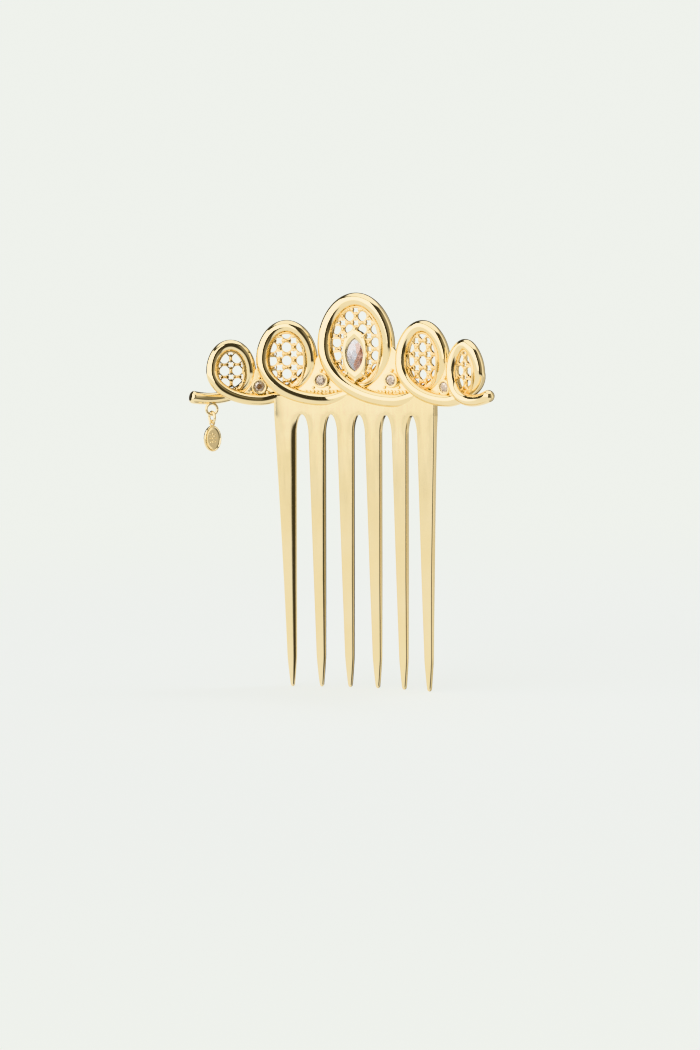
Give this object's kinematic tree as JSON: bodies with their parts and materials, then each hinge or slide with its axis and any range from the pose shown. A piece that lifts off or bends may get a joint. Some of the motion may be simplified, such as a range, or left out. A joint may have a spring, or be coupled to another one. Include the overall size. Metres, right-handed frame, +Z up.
{
  "type": "decorative hair comb",
  "caption": "Arched metal hair comb with long tapering teeth, a crown of scroll loops filled with pierced lattice and set stones, and a small hanging oval charm.",
  "frame": {"origin": "midway along the row of tooth tips, on the middle surface of the plate", "axes": "+Z up from the tooth tips to the crown, -Y towards the decorated concave side, +X to the right as seen from that side"},
  "size_m": [0.0865, 0.0194, 0.1045],
  "materials": {
    "polished_gold": "polished",
    "lattice_gold": "polished",
    "clear_stone": "faceted, clear",
    "smoky_stone": "faceted, champagne"
  },
  "bodies": {
    "comb": {"comb_plate": "polished_gold", "scroll_loop_left_end": "polished_gold", "lattice_left_end": "lattice_gold", "scroll_loop_left": "polished_gold", "lattice_left": "lattice_gold", "scroll_loop_middle": "polished_gold", "lattice_middle": "lattice_gold", "scroll_loop_right": "polished_gold", "lattice_right": "lattice_gold", "scroll_loop_right_end": "polished_gold", "lattice_right_end": "lattice_gold", "marquise_bezel": "polished_gold", "marquise_stone": "clear_stone", "corner_setting_1": "polished_gold", "corner_stone_1": "smoky_stone", "corner_setting_2": "polished_gold", "corner_stone_2": "smoky_stone", "corner_setting_3": "polished_gold", "corner_stone_3": "smoky_stone", "corner_setting_4": "polished_gold", "corner_stone_4": "smoky_stone", "charm_eyelet": "polished_gold"},
    "link": {"charm_link": "polished_gold"},
    "tag": {"charm_tag": "polished_gold"}
  },
  "joints": [
    {"name": "link_swing", "type": "hinge", "parent": "comb", "child": "link", "pos_m": [-0.03783, -0.00994, 0.0728], "axis": [0.871, 0.4913, 0], "range_deg": [-60, 60]},
    {"name": "tag_swing", "type": "hinge", "parent": "link", "child": "tag", "pos_m": [-0.03783, -0.00994, 0.07065], "axis": [0.8134, -0.5817, 0], "range_deg": [-45, 45]}
  ]
}
